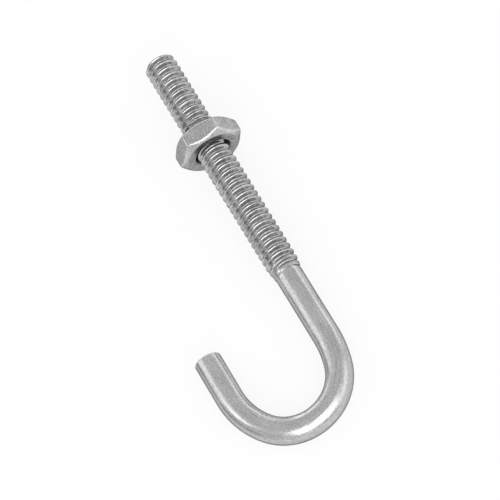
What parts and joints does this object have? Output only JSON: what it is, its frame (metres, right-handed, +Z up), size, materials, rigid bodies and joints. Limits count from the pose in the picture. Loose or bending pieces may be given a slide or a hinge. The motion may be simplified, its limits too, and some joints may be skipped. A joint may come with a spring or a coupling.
{
  "type": "j bolt",
  "caption": "Wire bolt bent to a J-shaped hook in one plane, with a rolled thread on the straight end and a hexagon nut on the thread.",
  "frame": {"origin": "on the surface the part lies on, below the middle of its box", "axes": "+X along the shank towards the hook, the hook opens to -Y, +Z up; the shank comes down towards the hook by 3.2 degrees, because the nut is wider than the wire"},
  "size_m": [0.0615, 0.0226, 0.0089],
  "materials": {
    "zinc_wire": "zinc plated, fine grained, faint drawing marks along the wire",
    "zinc_nut": "zinc plated, dull on the flats and brighter on the chamfers"
  },
  "bodies": {
    "bolt": {"j_bolt": "zinc_wire"},
    "nut": {"hex_nut": "zinc_nut"}
  },
  "joints": [
    {"name": "nut_travel", "type": "slide", "parent": "bolt", "child": "nut", "axis": [0.9984, 0, -0.0559], "range_m": [-0.0127, 0.01905]}
  ]
}
